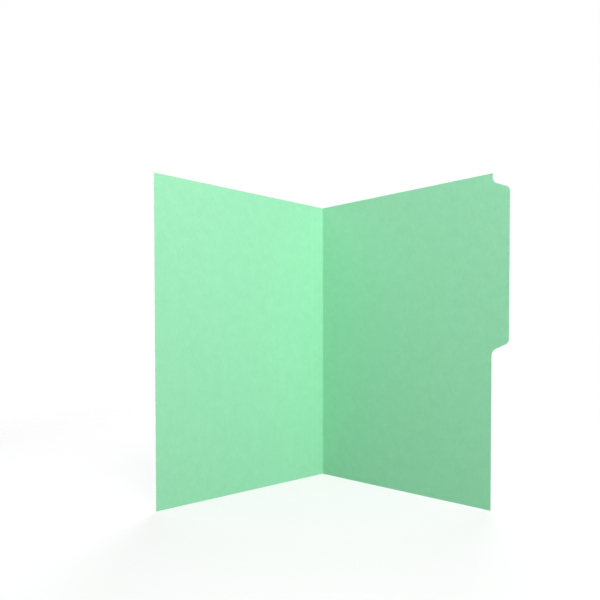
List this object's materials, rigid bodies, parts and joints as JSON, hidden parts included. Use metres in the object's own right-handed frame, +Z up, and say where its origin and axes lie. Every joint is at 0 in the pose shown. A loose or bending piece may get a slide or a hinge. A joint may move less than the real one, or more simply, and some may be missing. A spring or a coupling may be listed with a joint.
{
  "type": "file folder",
  "caption": "File folder of scored coloured card, standing open: a back leaf with a half-cut index tab and a front leaf that turns on a crease to hold loose papers.",
  "frame": {"origin": "middle of the folder's footprint, on the floor that its side edges stand on", "axes": "+Z up along the creases, +Y towards the main crease, the leaves open towards -Y, and the leaf with the tab is on the +X side"},
  "size_m": [0.3876, 0.1656, 0.3747],
  "materials": {
    "card": "matt mint green card stock, smooth calendered surface with faint fibre mottling",
    "crease": "crushed fibre of a scored crease, in the colour of the card"
  },
  "bodies": {
    "back": {"back_leaf": "card", "main_crease": "crease"},
    "strip_1": {"expansion_strip_1": "card", "expansion_crease_1": "crease"},
    "strip_2": {"expansion_strip_2": "card", "expansion_crease_2": "crease"},
    "front": {"front_leaf": "card"}
  },
  "joints": [
    {"name": "main_fold", "type": "hinge", "parent": "back", "child": "strip_1", "pos_m": [-0.00735, 0.08267, 0], "axis": [0, 0, -1], "range_deg": [-101, 79]},
    {"name": "expansion_fold_1", "type": "hinge", "parent": "strip_1", "child": "strip_2", "pos_m": [-0.0147, 0.07662, 0], "axis": [0, 0, 1], "range_deg": [0, 90]},
    {"name": "expansion_fold_2", "type": "hinge", "parent": "strip_2", "child": "front", "pos_m": [-0.02205, 0.07056, 0], "axis": [0, 0, 1], "range_deg": [0, 90]}
  ]
}
